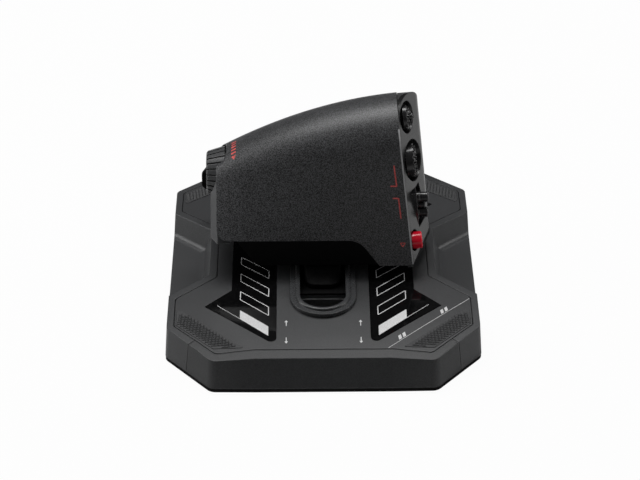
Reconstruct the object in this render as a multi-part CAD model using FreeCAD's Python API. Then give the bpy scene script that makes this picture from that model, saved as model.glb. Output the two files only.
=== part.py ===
import FreeCAD, Part
import math
import os

os.makedirs("parts", exist_ok=True)
Vec = FreeCAD.Vector

# Desktop throttle with one sliding hand grip. Millimetres.
# +X is the user's right, +Y is away from the user (full thrust), +Z is up.
# The origin is on the desk under the middle of the base. The grip is modelled
# a little behind the middle of its travel.

# ---------------------------------------------------------------- driving sizes
# base, in plan
baseHalfWidth = 110.0       # deck edge at the four wings
wingInnerY = 58.0           # where a wing's side starts
wingOuterY = 93.0           # where a wing's side ends
waistHalf = 81.0            # deck edge between the wings
waistY = 31.5               # half length of the straight waist
lipHalf = 77.0              # half width of the front and rear lips at their corners
lipY = 126.0                # lips' corners
lipFlatHalf = 48.0          # half width of the flat, set back stretch of each lip
lipFlatY = 121.5            # that stretch
draftSide = 2.0             # how much wider the base is at its foot, each side
draftEnd = 8.0              # the same at the front and rear
footBow = 0.5               # the foot's front edge is almost straight
panInset = 0.15             # the pan sits this far inside the foot of the frame
# base, in height
footHeight = 1.2            # rubber feet below the pan
panThick = 2.8              # bottom pan
deckTop = 32.2              # deck surface at the middle
crownRadius = 961.0         # the deck curves down to the front and rear
deckThick = 2.8             # deck cover
wall = 2.6                  # frame walls
scoopFloor = 14.0           # top of the low shelf between two wings
scoopLean = 6.5             # how far the waist wall leans out on its way down
scoopFillet = 5.0           # hollow corner at the foot of the scoop's walls
rimWidth = 5.0              # frame border around the deck cover
grooveGap = 0.5             # shadow gap between border and deck cover
ledge = 3.5                 # shelf under the deck cover's edge
seatGap = 0.05              # play between stacked covers
# glossy inlays
panelInner = 33.0           # edge along the slot strip
panelOuter = 65.4           # straight outer edge
panelTipX = 84.5            # pointed tips
panelTipY = 69.5
panelShoulderY = 50.2       # where the straight outer edge ends
panelEndY = 113.0           # front and rear corners
panelThick = 1.2
inlayGap = 0.12             # play around an inlay
patchThick = 1.0
patchProud = 0.3            # grip patches stand above the deck
# slot and its bezel
slotRadius = 16.3
slotCentreY = 59.5          # centre of each round end
bezelOuter = 23.6
bezelStep = 19.6            # raised inner lip
bezelCollar = 21.4          # part that drops into the deck
bezelProud = 1.4            # bezel's lip above the deck
bezelDeep = 5.0             # its collar's reach below the deck's top
# slide
restY = -16.0               # grip's place along the slot as modelled
travelBack = 24.0           # slide range towards the user
travelAhead = 56.0          # slide range away from the user
rodX = 40.0
rodZ = 14.5
rodRadius = 4.0
rodRunGap = 0.05            # radial running clearance in the bushes
carriageHalfY = 33.0
carriageBottom = 7.5
carriageTop = 22.0
slidePlateHalfX = 19.6
slidePlateHalfY = 31.8
slidePlateThick = 1.6
neckHalfX = 13.2
neckHalfY = 26.0
neckRound = 9.0
# hand grip
gripRestHeight = 62.0       # rear lower edge of the palm shell
gripRearY = -34.0           # its distance from the user side
crownY = 14.0               # axis of the grip's round top
frontFootY = 36.0           # foot of the finger side
frontFootZ = 44.0
gripFloor = 40.0
gripLeft = -76.0
palmWall = 2.6
shellWall = 2.6
shellInset = 0.6            # finger shell lies a little under the palm shell
splitGap = 0.35             # seam between grip covers
underFloor = 38.8           # underside of the grip's lower housing as drawn
gripClear = 6.6             # and its height above the deck; the grip is lifted to it
# dial
dialY = 16.0
dialZ = 90.5
dialBigRadius = 19.3
dialSmallRadius = 15.2
dialInnerX = -69.6
dialOuterX = -83.6
# thumb side
thumbPoint = Vec(58.0, -24.0, 93.0)
thumbNormal = Vec(0.94, -0.342, 0.217)
thumbThick = 3.0
controlAxis = Vec(0.995, 0.04, 0.09)    # the thumb controls point out sideways, not square to the face


# ---------------------------------------------------------------- shape helpers
def boxAt(x0, x1, y0, y1, z0, z1):
    return Part.makeBox(x1 - x0, y1 - y0, z1 - z0, Vec(x0, y0, z0))


def rodAt(x, y, z, radius, length, axis=Vec(0, 0, 1)):
    return Part.makeCylinder(radius, length, Vec(x, y, z), axis)


def mirrorX(shape):
    return shape.mirror(Vec(0, 0, 0), Vec(1, 0, 0))


def mirrorY(shape):
    return shape.mirror(Vec(0, 0, 0), Vec(0, 1, 0))


def roundedWire(points, radii, place=lambda x, y: Vec(x, y, 0)):
    """Closed wire through plan points, with an arc of the given radius at each corner."""
    if not isinstance(radii, (list, tuple)):
        radii = [radii] * len(points)
    count = len(points)
    starts, ends, mids = [], [], []
    for i in range(count):
        here = Vec(points[i][0], points[i][1], 0)
        back = Vec(points[i - 1][0], points[i - 1][1], 0) - here
        ahead = Vec(points[(i + 1) % count][0], points[(i + 1) % count][1], 0) - here
        back.normalize()
        ahead.normalize()
        half = back.getAngle(ahead) / 2
        reach = radii[i] / math.tan(half)
        bisector = back + ahead
        if radii[i] <= 0 or bisector.Length < 1e-9:
            starts.append(here)
            ends.append(here)
            mids.append(None)
            continue
        bisector.normalize()
        starts.append(here + back * reach)
        ends.append(here + ahead * reach)
        mids.append(here + bisector * (radii[i] / math.sin(half) - radii[i]))
    edges = []
    for i in range(count):
        if mids[i] is not None:
            three = [place(p.x, p.y) for p in (starts[i], mids[i], ends[i])]
            edges.append(Part.Arc(*three).toShape())
        a = place(ends[i].x, ends[i].y)
        b = place(starts[(i + 1) % count].x, starts[(i + 1) % count].y)
        if (b - a).Length > 1e-6:
            edges.append(Part.LineSegment(a, b).toShape())
    return Part.Wire(edges)


def planPrism(points, radii, z0, z1):
    wire = roundedWire(points, radii, lambda x, y: Vec(x, y, z0))
    return Part.Face(wire).extrude(Vec(0, 0, z1 - z0))


def planLoft(low, high, radii, z0, z1):
    wires = [roundedWire(low, radii, lambda x, y: Vec(x, y, z0)),
             roundedWire(high, radii, lambda x, y: Vec(x, y, z1))]
    return Part.makeLoft(wires, True, True)


def insetPolygon(points, depth):
    """Moves every side of a counter-clockwise polygon inwards by depth."""
    lines = []
    for i in range(len(points)):
        ax, ay = points[i]
        bx, by = points[(i + 1) % len(points)]
        length = math.hypot(bx - ax, by - ay)
        nx, ny = -(by - ay) / length, (bx - ax) / length
        lines.append((nx, ny, nx * ax + ny * ay + depth))
    result = []
    for i in range(len(points)):
        a, b, c = lines[i - 1]
        d, e, f = lines[i]
        cross = a * e - b * d
        result.append(((c * e - b * f) / cross, (a * f - c * d) / cross))
    return result


def stadium(radius, centreY, z0, z1):
    """Upright prism with round ends, along Y."""
    ends = [rodAt(0, y, z0, radius, z1 - z0) for y in (-centreY, centreY)]
    middle = boxAt(-radius, radius, -centreY, centreY, z0, z1)
    return middle.fuse(ends).removeSplitter()


def crown(drop):
    """Everything below the curved deck surface, lowered by drop."""
    return rodAt(-150, 0, deckTop - crownRadius, crownRadius - drop, 300, Vec(1, 0, 0))


def save(name, *shapes):
    solids = [solid for shape in shapes for solid in shape.Solids]
    Part.makeCompound(solids).exportStep("parts/" + name + ".step")


gripLift = deckTop + gripClear - underFloor


def saveOnGrip(name, *shapes):
    """Saves a piece that slides with the grip; the grip's pieces are drawn without its lift."""
    save(name, *[shape.translated(Vec(0, 0, gripLift)) for shape in shapes])


# ---------------------------------------------------------------- base outlines
panBottom = footHeight
panTop = panBottom + panThick
bezelTop = deckTop + bezelProud
bezelBottom = deckTop - bezelDeep
slidePlateBottom = bezelBottom - 1.0 - slidePlateThick


def quarterMirror(points):
    """Full outline from its front right quarter, counter-clockwise from the front."""
    right = points + [(x, -y) for x, y in reversed(points)]
    return right + [(-x, y) for x, y in reversed(right)]


deckOutline = quarterMirror([(lipFlatHalf, -lipFlatY), (lipHalf, -lipY), (baseHalfWidth, -wingOuterY),
                             (baseHalfWidth, -wingInnerY), (waistHalf, -waistY)])
topOctagon = quarterMirror([(lipFlatHalf, -lipFlatY), (lipHalf, -lipY), (baseHalfWidth, -wingOuterY)])
footOctagon = quarterMirror([(lipFlatHalf, -lipY - draftEnd - footBow),
                             (lipHalf + draftSide, -lipY - draftEnd),
                             (baseHalfWidth + draftSide, -wingOuterY - draftSide / 2)])
octagonRounds = [12, 8, 8, 8, 8, 12, 12, 8, 8, 8, 8, 12]


def octagonBody(inset, z0, z1):
    low = insetPolygon(footOctagon, inset)
    high = insetPolygon(topOctagon, inset)
    rounds = [max(r - inset, 1.0) for r in octagonRounds]
    return planLoft(low, high, rounds, z0, z1)


def scoopCutter(grow):
    """Space above the low shelf on the right; grow makes it larger by a wall."""
    slope = (wingInnerY - waistY) / (baseHalfWidth - waistHalf)
    far = baseHalfWidth + 30.0
    high = [(waistHalf, -waistY), (far, -waistY - slope * (far - waistHalf)),
            (far, waistY + slope * (far - waistHalf)), (waistHalf, waistY)]
    low = insetPolygon(high, scoopLean)
    floor = scoopFloor - grow
    if grow:
        high = insetPolygon(high, -grow)
        low = insetPolygon(low, -grow)
    body = planLoft(low, high, 0.0, floor, deckTop + 3.0)
    edges = [e for e in body.Edges if abs(e.BoundBox.ZMax - floor) < 1e-3 and e.BoundBox.XMin < far - 1]
    edges = [e for e in edges if e.BoundBox.ZLength < 1e-3]
    return body.makeFillet(scoopFillet, edges)


# ---------------------------------------------------------------- base frames
def frameRing():
    outer = octagonBody(0.0, panTop, deckTop + 2.0)
    hollow = octagonBody(wall, panTop - 1.0, deckTop + 2.0)
    scoops = scoopCutter(0.0)
    grown = scoopCutter(wall)
    underBorder = crown(deckThick + wall)
    hollow = hollow.cut([grown, mirrorX(grown)]).common(underBorder)
    opening = planPrism(insetPolygon(deckOutline, rimWidth + ledge), 1.0, panTop - 1.0, deckTop + 3.0)
    seat = planPrism(insetPolygon(deckOutline, rimWidth - grooveGap), 4.0, 0.0, deckTop + 3.0)
    seat = seat.cut(crown(deckThick + seatGap))
    body = outer.cut([scoops, mirrorX(scoops)]).common(crown(0.0))
    return body.cut([hollow, opening, seat])


frame = frameRing()
seamX = 93.0
seamY = 109.5
seamRun = 30.0
frontWedge = [(-seamX - seamRun, -seamY - seamRun), (seamX + seamRun, -seamY - seamRun),
              (seamX - seamRun, -seamY + seamRun), (-seamX + seamRun, -seamY + seamRun)]
fasciaBlock = planPrism(frontWedge, 0.0, 0.0, deckTop + 5.0)
fasciaGap = planPrism(insetPolygon(frontWedge, -0.3), 0.0, 0.0, deckTop + 5.0)
frontFascia = frame.common(fasciaBlock)
rearFascia = frame.common(mirrorY(fasciaBlock))
sides = frame.cut([fasciaGap, mirrorY(fasciaGap)])
rightHalf = boxAt(0, 200, -200, 200, -10, 60)
sideRight = sides.common(rightHalf)

# ---------------------------------------------------------------- base fasteners
bossRadius = 3.5
pilotRadius = 1.3
screwRadius = 1.25
headRadius = 2.8
headDeep = 1.6
deckBosses = [(70.0, 100.0), (66.0, 20.0)]
sideBoss = (baseHalfWidth - 6.0, 76.0)
fasciaBoss = (40.0, 117.0)


def fourWays(x, y):
    return [(x, -y), (-x, -y), (x, y), (-x, y)]


def screwBoss(x, y, top):
    """Post down to the pan, with a pilot hole from below."""
    post = rodAt(x, y, panTop + seatGap, bossRadius, 40).common(crown(top))
    return post


def pilotHole(x, y):
    return rodAt(x, y, panTop - 1.0, pilotRadius, 12.0)


def caseScrew(x, y):
    head = rodAt(x, y, panBottom + 0.3, headRadius, headDeep - 0.3)
    shank = rodAt(x, y, panBottom + headDeep, screwRadius, 10.0)
    drive = Part.makeBox(0.9, 4.4, 0.8, Vec(x - 0.45, y - 2.2, panBottom + 0.2))
    return head.fuse(shank).cut(drive)


borderDrop = deckThick + wall - 0.4
sideBosses = [screwBoss(sideBoss[0], y, borderDrop) for y in (-sideBoss[1], sideBoss[1])]
sidePilots = [pilotHole(sideBoss[0], y) for y in (-sideBoss[1], sideBoss[1])]
sideRight = sideRight.fuse(sideBosses).cut(sidePilots)
fasciaBosses = [screwBoss(x, -fasciaBoss[1], borderDrop) for x in (-fasciaBoss[0], fasciaBoss[0])]
fasciaPilots = [pilotHole(x, -fasciaBoss[1]) for x in (-fasciaBoss[0], fasciaBoss[0])]
frontFascia = frontFascia.fuse(fasciaBosses).cut(fasciaPilots)
rearFascia = mirrorY(frontFascia)

# lead socket in the rear fascia
socketX = 0.0
socketZ = 12.0
socketWide = 9.0
socketHigh = 3.4
footFaceY = lipY + draftEnd + footBow
socketFace = footFaceY - (footFaceY - lipFlatY) * (socketZ - panTop) / (deckTop + 2.0 - panTop) - 0.4
socketLong = 7.5


def socketSlab(wide, high, y0, y1):
    profile = [(socketX - wide / 2, socketZ - high / 2), (socketX + wide / 2, socketZ - high / 2),
               (socketX + wide / 2, socketZ + high / 2), (socketX - wide / 2, socketZ + high / 2)]
    wire = roundedWire(profile, high / 2 - 0.05, lambda x, z: Vec(x, y0, z))
    return Part.Face(wire).extrude(Vec(0, y1 - y0, 0))


socketPad = boxAt(socketX - 11, socketX + 11, socketFace - socketLong - 1.2, lipY + 20,
                  panTop + 1.0, socketZ + 9.0)
socketPad = socketPad.common(octagonBody(1.0, panTop, deckTop + 2.0))
socketHole = socketSlab(socketWide + 0.3, socketHigh + 0.3, lipFlatY - 20, lipY + 20)
socketDish = socketSlab(socketWide + 5.0, socketHigh + 4.0, socketFace, lipY + 20)
rearFascia = rearFascia.fuse(socketPad).cut([socketHole, socketDish])
leadSocket = socketSlab(socketWide, socketHigh, socketFace - socketLong, socketFace)
leadSocket = leadSocket.cut(socketSlab(socketWide - 0.7, socketHigh - 0.7, socketFace - 6.3, socketFace + 1))
tongue = boxAt(socketX - 3.2, socketX + 3.2, socketFace - 6.5, socketFace - 0.8,
               socketZ - 0.35, socketZ + 0.35)
leadSocket = leadSocket.fuse(tongue)
save("front_fascia", frontFascia)
save("rear_fascia", rearFascia)
save("side_frame_right", sideRight)
save("side_frame_left", mirrorX(sideRight))
save("lead_socket", leadSocket)

# ---------------------------------------------------------------- deck cover and inlays
deckPlan = insetPolygon(deckOutline, rimWidth)
deck = planPrism(deckPlan, 5.0, 0.0, deckTop + 2.0).common(crown(0.0)).cut(crown(deckThick))
deckPosts = [screwBoss(x, y, deckThick - 0.5) for bx, by in deckBosses for x, y in fourWays(bx, by)]
ribX = 57.5
ribs = [boxAt(x - 0.8, x + 0.8, -88, 88, 17.0, 40.0).common(crown(deckThick - 0.5)) for x in (-ribX, ribX)]
deck = deck.fuse(deckPosts + ribs)
deck = deck.cut([pilotHole(x, y) for bx, by in deckBosses for x, y in fourWays(bx, by)])
deck = deck.cut(stadium(bezelCollar + 0.15, slotCentreY, 0.0, 50.0))
panelPlan = [(panelInner, -panelEndY), (panelTipX, -panelTipY), (panelOuter, -panelShoulderY),
             (panelOuter, panelShoulderY), (panelTipX, panelTipY), (panelInner, panelEndY)]
panelRounds = [4.0, 0.8, 2.0, 2.0, 0.8, 4.0]
panelPocket = planPrism(panelPlan, panelRounds, 0.0, 50.0).cut(crown(panelThick + seatGap))
panelRight = planPrism(insetPolygon(panelPlan, inlayGap), panelRounds, 0.0, 50.0)
panelRight = panelRight.common(crown(0.0)).cut(crown(panelThick))
patchPlan = [(77.2, -116.0), (103.8, -90.4), (103.8, -75.3), (101.8, -73.2), (55.4, -115.0)]
patchRounds = [3.0, 3.0, 0.8, 0.8, 0.8]
patchPocket = planPrism(patchPlan, patchRounds, 0.0, 50.0).cut(crown(patchThick - patchProud + seatGap))
patchRight = planPrism(insetPolygon(patchPlan, inlayGap), patchRounds, 0.0, 50.0)
patchRight = patchRight.common(crown(-patchProud)).cut(crown(patchThick - patchProud))
pockets = [panelPocket, patchPocket, mirrorY(patchPocket)]
deck = deck.cut(pockets + [mirrorX(p) for p in pockets])
save("top_deck", deck)
save("inlay_panel_right", panelRight)
save("inlay_panel_left", mirrorX(panelRight))
save("grip_patches_front", patchRight, mirrorX(patchRight))
save("grip_patches_rear", mirrorY(patchRight), mirrorY(mirrorX(patchRight)))

# slot bezel: flat raised lip, curved flange, collar through the deck
flangeTop = deckTop + 0.7
flangeCrownRadius = 2940.0
flangeCrown = rodAt(-60, 0, flangeTop - flangeCrownRadius, flangeCrownRadius, 120, Vec(1, 0, 0))
lipSolid = stadium(bezelStep, slotCentreY, bezelBottom, bezelTop)
lipEdges = [e for e in lipSolid.Edges if e.BoundBox.ZMin > bezelTop - 0.01]
lipSolid = lipSolid.makeFillet(1.2, lipEdges)
flange = stadium(bezelOuter, slotCentreY, 20.0, 40.0).common(flangeCrown).cut(crown(-seatGap))
collar = stadium(bezelCollar, slotCentreY, bezelBottom, flangeTop - 2.5)
bezel = lipSolid.fuse([flange, collar]).cut(stadium(slotRadius, slotCentreY, 0.0, 60.0))
mouth = [e for e in bezel.Edges if e.BoundBox.ZMin > bezelTop - 0.01 and e.BoundBox.XMax < slotRadius + 0.1
         and e.BoundBox.XMin > -slotRadius - 0.1]
bezel = bezel.makeFillet(0.9, mouth)
save("slot_bezel", bezel)

# ---------------------------------------------------------------- pan, feet, ballast, mounts
insertX = 60.0
insertY = 74.0
insertThread = 2.5
insertOuter = 4.0
insertLong = 9.0
footRadius = 8.0
footSeat = 1.0
footSpots = fourWays(baseHalfWidth - 14.0, 86.0) + fourWays(62.0, lipY - 10.0)
pan = planPrism(insetPolygon(footOctagon, panInset), 8.0, panBottom, panTop)
insertBosses = [rodAt(x, y, panBottom, insertOuter + 2.2, insertLong) for x, y in fourWays(insertX, insertY)]
pan = pan.fuse(insertBosses)
allScrews = [spot for bx, by in deckBosses + [sideBoss, fasciaBoss] for spot in fourWays(bx, by)]
panCuts = [rodAt(x, y, panBottom - 1, insertOuter, insertLong + 2) for x, y in fourWays(insertX, insertY)]
panCuts += [rodAt(x, y, panBottom - 1, footRadius + 0.1, 1 + footSeat) for x, y in footSpots]
panCuts += [rodAt(x, y, panBottom - 1, headRadius + 0.3, 1 + headDeep) for x, y in allScrews]
panCuts += [rodAt(x, y, panBottom - 1, screwRadius + 0.15, 6) for x, y in allScrews]
tensionX = 0.0
tensionY = 22.0
tensionRadius = 4.0
panCuts += [rodAt(tensionX, tensionY, panBottom - 1, tensionRadius + 0.05, 8)]
tensionBoss = rodAt(tensionX, tensionY, panBottom, tensionRadius + 2.4, panThick + 0.9)
boardSpots = [(-58.0, -36.0), (-58.0, 36.0)]
boardLift = 0.6
boardPosts = [rodAt(x, y, panBottom + 0.5, 2.4, panThick - 0.5 + boardLift) for x, y in boardSpots]
pan = pan.fuse([tensionBoss] + boardPosts).cut(panCuts)
save("bottom_pan", pan)
inserts = [rodAt(x, y, panBottom, insertOuter, insertLong).cut(rodAt(x, y, 0, insertThread, 20))
           for x, y in fourWays(insertX, insertY)]
save("mount_inserts", *inserts)


def rubberFoot(x, y):
    foot = rodAt(x, y, 0.0, footRadius, footHeight + footSeat)
    rim = [e for e in foot.Edges if e.BoundBox.ZMax < 0.01]
    return foot.makeFillet(0.6, rim)


save("rubber_feet", *[rubberFoot(x, y) for x, y in footSpots])
save("case_screws", *[caseScrew(x, y) for x, y in allScrews])
ballast = boxAt(-34, 34, -112, -94, panTop, panTop + 9.0)
ballast = ballast.makeFillet(2.0, [e for e in ballast.Edges if e.BoundBox.ZLength > 8])
save("ballast_plates", ballast, mirrorY(ballast))
board = boxAt(-62.0, -54.0, -42, 42, panTop + boardLift, panTop + 2.2)
chip = boxAt(-60.5, -56.5, -4, 4, panTop + 2.2, panTop + 3.4)
connector = boxAt(-61.0, -55.0, 30, 40, panTop + 2.2, panTop + 5.0)
save("position_board", board.fuse([chip, connector]))

# ---------------------------------------------------------------- slide rails
carriageReach = carriageHalfY + (travelBack + travelAhead) / 2
bumperLong = 6.5
bumperGap = 0.3
mountInner = carriageReach + bumperGap + bumperLong
mountThick = 9.0
mountTop = 20.5
rodHoleGap = 0.03


def rodMount():
    """Bridge that carries both rod ends; drawn for the user's side."""
    profile = [(-rodX - 9, panTop), (-rodX + 10, panTop), (-rodX + 14, panTop + 5), (rodX - 14, panTop + 5),
               (rodX - 10, panTop), (rodX + 9, panTop), (rodX + 9, mountTop - 3), (rodX + 5, mountTop),
               (rodX - 6, mountTop), (rodX - 12, mountTop - 6),
               (-rodX + 12, mountTop - 6), (-rodX + 6, mountTop),
               (-rodX - 5, mountTop), (-rodX - 9, mountTop - 3)]
    wire = roundedWire(profile, 1.0, lambda x, z: Vec(x, -mountInner - mountThick, z))
    body = Part.Face(wire).extrude(Vec(0, mountThick, 0))
    outside = -mountInner - mountThick - 1
    holes = [rodAt(x, outside, rodZ, rodRadius + rodHoleGap, mountThick + 2, Vec(0, 1, 0))
             for x in (-rodX, rodX)]
    return body.cut(holes)


save("rod_mounts", rodMount(), mirrorY(rodMount()))
rodEnd = mountInner + mountThick
save("guide_rods", *[rodAt(x, -rodEnd, rodZ, rodRadius, 2 * rodEnd, Vec(0, 1, 0)) for x in (-rodX, rodX)])
bumpers = []
for x in (-rodX, rodX):
    for y in (-mountInner, mountInner - bumperLong):
        ring = rodAt(x, y, rodZ, 6.6, bumperLong, Vec(0, 1, 0))
        bumpers.append(ring.cut(rodAt(x, y - 1, rodZ, rodRadius + 0.1, bumperLong + 2, Vec(0, 1, 0))))
save("end_bumpers", *bumpers)

# carriage with four bushes
bushRadius = 6.4
bushLong = 15.0
bushInset = 1.5


def carriageBody():
    profile = [(-rodX - 10, carriageBottom + 3), (-rodX - 7, carriageBottom), (-rodX + 8, carriageBottom),
               (-rodX + 13, carriageBottom + 1.6), (rodX - 13, carriageBottom + 1.6),
               (rodX - 8, carriageBottom),
               (rodX + 7, carriageBottom), (rodX + 10, carriageBottom + 3), (rodX + 10, carriageTop - 3),
               (rodX + 7, carriageTop), (-rodX - 7, carriageTop), (-rodX - 10, carriageTop - 3)]
    y0 = restY - carriageHalfY
    wire = roundedWire(profile, 0.8, lambda x, z: Vec(x, y0, z))
    body = Part.Face(wire).extrude(Vec(0, 2 * carriageHalfY, 0))
    cuts = []
    for x in (-rodX, rodX):
        cuts.append(rodAt(x, y0 - 1, rodZ, rodRadius + 0.8, 2 * carriageHalfY + 2, Vec(0, 1, 0)))
        for y in (y0 + bushInset, y0 + 2 * carriageHalfY - bushInset - bushLong):
            cuts.append(rodAt(x, y, rodZ, bushRadius + 0.03, bushLong, Vec(0, 1, 0)))
        cuts.append(rodAt(x, y0 - 1, rodZ, bushRadius - 1.2, bushInset + 1, Vec(0, 1, 0)))
        cuts.append(rodAt(x, y0 + 2 * carriageHalfY - bushInset, rodZ, bushRadius - 1.2, 4, Vec(0, 1, 0)))
    window = boxAt(17.5, 28.5, restY - 22, restY + 22, 0, 40)
    riser = boxAt(-17, 17, restY - 29, restY + 29, carriageTop - 1, slidePlateBottom)
    wireWay = boxAt(-5, 5, restY - 12, restY + 12, 0, 40)
    return body.fuse(riser).cut(cuts + [window, mirrorX(window), wireWay])


save("carriage", carriageBody())
bushes = []
for x in (-rodX, rodX):
    y0 = restY - carriageHalfY
    for y in (y0 + bushInset, y0 + 2 * carriageHalfY - bushInset - bushLong):
        sleeve = rodAt(x, y, rodZ, bushRadius, bushLong, Vec(0, 1, 0))
        sleeve = sleeve.cut(rodAt(x, y - 1, rodZ, rodRadius + rodRunGap, bushLong + 2, Vec(0, 1, 0)))
        bushes.append(sleeve)
save("slide_bushes", *bushes)
magnetCarrier = boxAt(-rodX - 19, -rodX - 9.5, restY - 7, restY + 7,
                      carriageBottom + 3.5, carriageBottom + 7.5)
magnetCarrier = magnetCarrier.cut(carriageBody())
save("magnet_carrier", magnetCarrier)

# friction pad pressed up by a screw that is turned from below
padTop = carriageBottom + 1.3
frictionPad = boxAt(-13, 13, tensionY - 11, tensionY + 11, panTop + 1.3, padTop)
frictionPad = frictionPad.makeFillet(1.2, [e for e in frictionPad.Edges if e.BoundBox.ZLength > 2])
save("friction_pad", frictionPad)
tensionScrew = rodAt(tensionX, tensionY, panBottom + 0.3, tensionRadius, panThick + 0.7)
tensionScrew = tensionScrew.cut(boxAt(-0.7, 0.7, tensionY - 6, tensionY + 6, 0, panBottom + 1.5))
save("tension_screw", tensionScrew)


# ---------------------------------------------------------------- neck and slide plate
underThick = 2.6
neckTop = underFloor + underThick + seatGap
flangeThick = 2.6
neckWall = 3.0
neckStraight = 30.0          # the neck leans forward above this height
neckTopRear = -25.0          # its user side where it meets the grip
neckScrewX = neckHalfX + 2.5
neckScrewY = (neckTopRear + 3.5, restY + neckHalfY - 3.5)


def neckWire(inset, rear, z):
    front = restY + neckHalfY
    corners = [(-neckHalfX, rear), (neckHalfX, rear), (neckHalfX, front), (-neckHalfX, front)]
    points = insetPolygon(corners, inset)
    return roundedWire(points, neckRound - inset, lambda x, y: Vec(x, y, z))


def neckBody(inset, low, high):
    foot = restY - neckHalfY
    straight = Part.Face(neckWire(inset, foot, low)).extrude(Vec(0, 0, neckStraight - low))
    ends = [neckWire(inset, foot, neckStraight), neckWire(inset, neckTopRear, underFloor)]
    lean = Part.makeLoft(ends, True, True)
    top = Part.Face(neckWire(inset, neckTopRear, underFloor)).extrude(Vec(0, 0, high - underFloor))
    return straight.fuse([lean, top])


neckScrews = [(x, y) for x in (-neckScrewX, neckScrewX) for y in neckScrewY]
neckScrewHoles = [rodAt(x, y, 30, 1.35, 20) for x, y in neckScrews]
plateDrawn = slidePlateBottom - gripLift
slidePlate = boxAt(-slidePlateHalfX, slidePlateHalfX, restY - slidePlateHalfY, restY + slidePlateHalfY,
                   plateDrawn, plateDrawn + slidePlateThick)
saveOnGrip("slide_plate", slidePlate.cut(neckBody(-0.1, 10.0, 60.0)))
flange = Part.Face(neckWire(-5.0, neckTopRear + 3.5, neckTop)).extrude(Vec(0, 0, flangeThick))
neck = neckBody(0.0, plateDrawn, neckTop + flangeThick).fuse(flange)
saveOnGrip("neck", neck.cut([neckBody(neckWall, 10.0, 60.0)] + neckScrewHoles))


# ---------------------------------------------------------------- grip envelope
def crownHeight(x):
    return 110.0 + 0.2434 * x - 0.00149 * x * x


def crownSize(x):
    return 31.2 + 0.055 * x - 0.0003 * x * x


def tangentFrom(px, pz, cx, cz, radius, side):
    """Tangent point and outward normal on a circle seen from an outside point."""
    dx, dz = px - cx, pz - cz
    dist = math.hypot(dx, dz)
    angle = math.atan2(dz, dx) + side * math.acos(radius / dist)
    return math.cos(angle), math.sin(angle)


def gripSection(x, inset):
    """Side profile of the grip at station x, moved inwards by inset."""
    cy, cz, full = crownY, crownHeight(x), crownSize(x)
    ry, rz = tangentFrom(gripRearY, gripRestHeight, cy, cz, full, -1)
    fy, fz = tangentFrom(frontFootY, frontFootZ, cy, cz, full, 1)
    radius = full - inset
    floor = gripFloor + inset
    rear = Vec(x, cy + ry * radius, cz + rz * radius)
    front = Vec(x, cy + fy * radius, cz + fz * radius)
    rearFoot = Vec(x, rear.y + (rear.z - floor) * rz / ry, floor)
    frontFoot = Vec(x, front.y + (front.z - floor) * fz / fy, floor)
    top = Vec(x, cy, cz + radius)
    edges = [Part.LineSegment(rearFoot, rear).toShape(), Part.Arc(rear, top, front).toShape(),
             Part.LineSegment(front, frontFoot).toShape(), Part.LineSegment(frontFoot, rearFoot).toShape()]
    return Part.Wire(edges)


gripStations = [-77.0, -52.0, -20.0, 15.0, 50.0, 92.0]


def gripSolid(inset):
    return Part.makeLoft([gripSection(x, inset) for x in gripStations], True, False)


thumbAxis = Vec(thumbNormal).normalize()
thumbDeep = Vec(thumbAxis.y * -1, thumbAxis.x, 0).normalize()
thumbUp = thumbAxis.cross(thumbDeep)
if thumbUp.z < 0:
    thumbUp = thumbUp * -1


def thumbSlab(low, high):
    """Big slab between two depths measured along the thumb face's normal."""
    block = Part.makeBox(400, 400, high - low, Vec(-200, -200, low))
    matrix = FreeCAD.Matrix(thumbDeep.x, thumbUp.x, thumbAxis.x, thumbPoint.x,
                            thumbDeep.y, thumbUp.y, thumbAxis.y, thumbPoint.y,
                            thumbDeep.z, thumbUp.z, thumbAxis.z, thumbPoint.z)
    block.Placement = FreeCAD.Placement(matrix)
    return block


cornerRadius = 20.0
cornerTurn = math.radians(70.0)
cornerFoot = Vec(77.6, 1.3, 48.2)
cornerHead = Vec(72.9, 17.5, 93.3)


def farCorner(inset):
    """Space outside the rounded edge between the thumb face and the finger side."""
    along = Vec(cornerHead - cornerFoot).normalize()
    side = along.cross(thumbAxis)
    start = cornerFoot - along * 100.0
    bend = cornerRadius - inset

    def place(u, v):
        return start + thumbAxis * u + side * v

    def onArc(angle):
        return place(bend * math.cos(angle) - cornerRadius, bend * math.sin(angle))

    end = (bend * math.cos(cornerTurn) - cornerRadius - 60 * math.sin(cornerTurn),
           bend * math.sin(cornerTurn) + 60 * math.cos(cornerTurn))
    arc = Part.Arc(onArc(0.0), onArc(cornerTurn / 2), onArc(cornerTurn)).toShape()
    rest = Part.makePolygon([onArc(cornerTurn), place(*end), place(80.0, end[1]), place(80.0, 0.0),
                             onArc(0.0)])
    return Part.Face(Part.Wire([arc] + rest.Edges)).extrude(along * 260.0)


footRise = Vec(-0.115, -0.124, 1.0)     # normal of the sloping foot under the thumb face
footPoint = Vec(66.0, -34.0, 42.6)


def footSlab(low, high):
    """Big slab along the thumb side's sloping foot."""
    block = Part.makeBox(400, 400, high - low, Vec(-200, -200, low))
    block.Placement = FreeCAD.Placement(footPoint, FreeCAD.Rotation(Vec(0, 0, 1), footRise))
    return block


# ---------------------------------------------------------------- grip regions
splitAngle = math.radians(38.0)     # how far the palm shell wraps over the top
palmEdgeX = 66.0                    # palm shell's right edge at palmEdgeZ
palmEdgeZ = 41.0
palmEdgeLean = 0.112                # that edge leans inwards going up
palmTipZ = 43.4                     # lowest point of the palm shell, at its right end
palmCurveX = 26.0                   # where its lower edge starts to drop
palmTipX = 41.0
notchX = -68.6                      # the palm shell is cut back round the dial
notchZ = 104.6
gripTop = 175.0


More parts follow.
